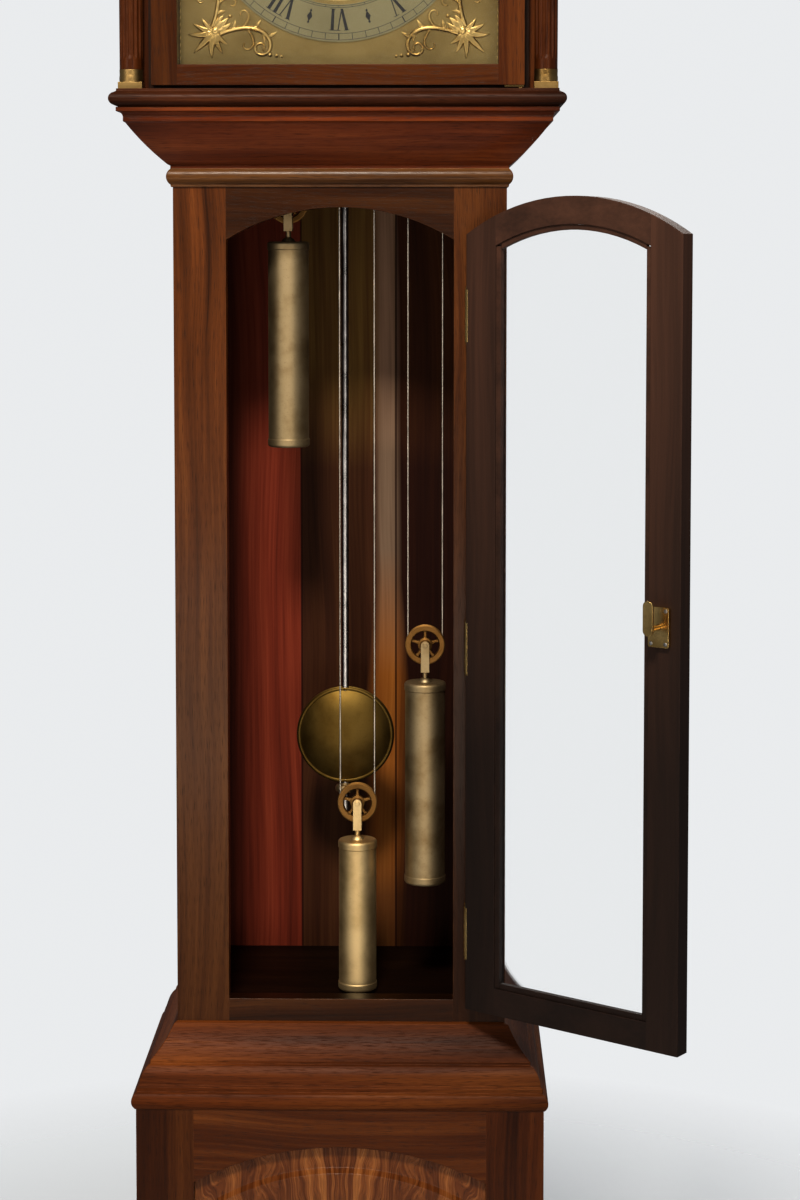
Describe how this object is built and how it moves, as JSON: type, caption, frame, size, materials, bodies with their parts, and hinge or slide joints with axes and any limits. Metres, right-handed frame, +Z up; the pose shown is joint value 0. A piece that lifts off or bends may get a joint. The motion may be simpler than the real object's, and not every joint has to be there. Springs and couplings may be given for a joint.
{
  "type": "grandfather clock",
  "caption": "Longcase clock: mahogany case with arched glazed trunk door standing open, brass weights on pulleys, long pendulum, brass break-arch dial, sliding hood with swan-neck pediment.",
  "frame": {"origin": "on the floor, under the middle of the trunk's width", "axes": "+Z up, the front faces -Y, +X to the right seen from the front"},
  "size_m": [0.6542, 0.468, 2.331],
  "materials": {
    "wood_case": "polished red-brown mahogany, dark in the mouldings",
    "wood_veneer": "flame-figured mahogany veneer, polished",
    "wood_dark": "dark stained wood, dull",
    "wood_back": "reddish unpolished backboard",
    "brass": "polished and lacquered brass",
    "silvered": "silvered, finely brushed",
    "steel": "polished grey steel",
    "blued_steel": "heat-blued steel",
    "glass": "clear window glass",
    "line": "stranded steel line"
  },
  "bodies": {
    "case": {"plinth": "wood_case", "base_carcass": "wood_case", "base_front_frame": "wood_case", "base_panel": "wood_veneer", "base_moulding": "wood_case", "trunk_sides": "wood_case", "trunk_front_frame": "wood_case", "trunk_floor": "wood_dark", "backboard": "wood_back", "throat_moulding": "wood_case", "seatboard": "wood_back", "case_hinge_leaves": "brass", "dial_plate": "brass", "chapter_rings": "silvered", "dial_ornaments": "brass", "movement_frame": "brass", "back_cock": "brass", "chime_rods": "steel", "strike_line": "line", "going_line": "line", "chime_line": "line"},
    "hood": {"hood_base_frame": "wood_case", "hood_sides": "wood_case", "hood_top": "wood_case", "dial_mask": "wood_dark", "hood_cornice": "wood_case", "pediment": "wood_case", "finials": "brass", "hood_columns": "wood_case", "column_mounts": "brass"},
    "hood_door": {"hood_door_frame": "wood_case", "hood_door_glass": "glass", "hood_door_fittings": "brass"},
    "trunk_door": {"trunk_door_frame": "wood_dark", "trunk_door_glass": "glass", "door_hinge_leaves": "brass", "door_lock": "brass"},
    "key": {"door_key": "brass"},
    "minute": {"minute_hand": "blued_steel"},
    "hour": {"hour_hand": "blued_steel"},
    "centre": {"centre_wheel": "brass"},
    "third": {"third_wheel": "brass"},
    "escape": {"escape_wheel": "brass", "seconds_hand": "blued_steel"},
    "great": {"great_wheel": "brass"},
    "pendulum": {"anchor_crutch": "steel", "suspension_spring": "steel", "pendulum_rod": "steel", "pendulum_bob": "brass", "rating_nut": "brass"},
    "hammers": {"chime_hammers": "steel"},
    "strike_weight": {"strike_weight": "brass"},
    "strike_pulley": {"strike_pulley": "brass"},
    "strike_barrel": {"strike_barrel": "brass"},
    "going_weight": {"going_weight": "brass"},
    "going_pulley": {"going_pulley": "brass"},
    "going_barrel": {"going_barrel": "brass"},
    "chime_weight": {"chime_weight": "brass"},
    "chime_pulley": {"chime_pulley": "brass"},
    "chime_barrel": {"chime_barrel": "brass"}
  },
  "joints": [
    {"name": "trunk_door_hinge", "type": "hinge", "parent": "case", "child": "trunk_door", "pos_m": [0.146, -0.1305, 0.985], "axis": [0, 0, 1], "range_deg": [-144, 12]},
    {"name": "door_key_turn", "type": "hinge", "parent": "trunk_door", "child": "key", "pos_m": [0.35796, -0.2845, 1.01], "axis": [-0.5878, -0.809, 0], "range_deg": [-90, 0]},
    {"name": "hood_slide", "type": "slide", "parent": "case", "child": "hood", "axis": [0, -1, 0], "range_m": [0, 0.36]},
    {"name": "hood_door_hinge", "type": "hinge", "parent": "hood", "child": "hood_door", "pos_m": [0.204, -0.16, 1.8], "axis": [0, 0, 1], "range_deg": [0, 100]},
    {"name": "minute_turn", "type": "hinge", "parent": "case", "child": "minute", "pos_m": [0, -0.144, 1.8], "axis": [0, 1, 0], "continuous": true},
    {"name": "hour_turn", "type": "hinge", "parent": "case", "child": "hour", "pos_m": [0, -0.139, 1.8], "axis": [0, 1, 0], "continuous": true},
    {"name": "seconds_turn", "type": "hinge", "parent": "case", "child": "escape", "pos_m": [0, -0.05, 1.858], "axis": [0, 1, 0], "continuous": true},
    {"name": "third_turn", "type": "hinge", "parent": "case", "child": "third", "pos_m": [0.01342, -0.03, 1.8348], "axis": [0, 1, 0], "continuous": true},
    {"name": "centre_turn", "type": "hinge", "parent": "case", "child": "centre", "pos_m": [0, -0.05, 1.8], "axis": [0, 1, 0], "continuous": true},
    {"name": "great_turn", "type": "hinge", "parent": "case", "child": "great", "pos_m": [0, -0.084, 1.7425], "axis": [0, 1, 0], "continuous": true},
    {"name": "pendulum_swing", "type": "hinge", "parent": "case", "child": "pendulum", "pos_m": [0, 0.024, 1.88], "axis": [0, 1, 0], "range_deg": [-3, 3]},
    {"name": "hammer_lift", "type": "hinge", "parent": "case", "child": "hammers", "pos_m": [0.07, 0.06, 1.902], "axis": [1, 0, 0], "range_deg": [0, 18]},
    {"name": "strike_weight_slide", "type": "slide", "parent": "case", "child": "strike_weight", "axis": [0, 0, 1], "range_m": [-0.62, 0.16], "deforming": ["strike_line"]},
    {"name": "strike_pulley_turn", "type": "hinge", "parent": "strike_weight", "child": "strike_pulley", "pos_m": [-0.063, -0.05, 1.468], "axis": [0, -1, 0], "continuous": true},
    {"name": "strike_barrel_turn", "type": "hinge", "parent": "case", "child": "strike_barrel", "pos_m": [-0.08, -0.05, 1.7425], "axis": [0, -1, 0], "continuous": true},
    {"name": "going_weight_slide", "type": "slide", "parent": "case", "child": "going_weight", "axis": [0, 0, 1], "range_m": [0, 0.83], "deforming": ["going_line"]},
    {"name": "going_pulley_turn", "type": "hinge", "parent": "going_weight", "child": "going_pulley", "pos_m": [0.017, -0.05, 0.7615], "axis": [0, -1, 0], "continuous": true},
    {"name": "going_barrel_turn", "type": "hinge", "parent": "case", "child": "going_barrel", "pos_m": [0, -0.05, 1.7425], "axis": [0, -1, 0], "continuous": true},
    {"name": "chime_weight_slide", "type": "slide", "parent": "case", "child": "chime_weight", "axis": [0, 0, 1], "range_m": [-0.1, 0.66], "deforming": ["chime_line"]},
    {"name": "chime_pulley_turn", "type": "hinge", "parent": "chime_weight", "child": "chime_pulley", "pos_m": [0.097, -0.05, 0.95], "axis": [0, -1, 0], "continuous": true},
    {"name": "chime_barrel_turn", "type": "hinge", "parent": "case", "child": "chime_barrel", "pos_m": [0.08, -0.05, 1.7425], "axis": [0, -1, 0], "continuous": true}
  ],
  "couplings": [
    {"joint": "hour_turn", "follows": "minute_turn", "ratio": 0.083333},
    {"joint": "third_turn", "follows": "seconds_turn", "ratio": -0.13333},
    {"joint": "centre_turn", "follows": "seconds_turn", "ratio": 0.016667},
    {"joint": "great_turn", "follows": "seconds_turn", "ratio": -0.0013889},
    {"joint": "strike_pulley_turn", "follows": "strike_weight_slide", "rad_per_m": 49.383},
    {"joint": "strike_barrel_turn", "follows": "strike_weight_slide", "rad_per_m": 53.691},
    {"joint": "going_pulley_turn", "follows": "going_weight_slide", "rad_per_m": 49.383},
    {"joint": "going_barrel_turn", "follows": "going_weight_slide", "rad_per_m": 53.691},
    {"joint": "chime_pulley_turn", "follows": "chime_weight_slide", "rad_per_m": 49.383},
    {"joint": "chime_barrel_turn", "follows": "chime_weight_slide", "rad_per_m": 53.691}
  ]
}
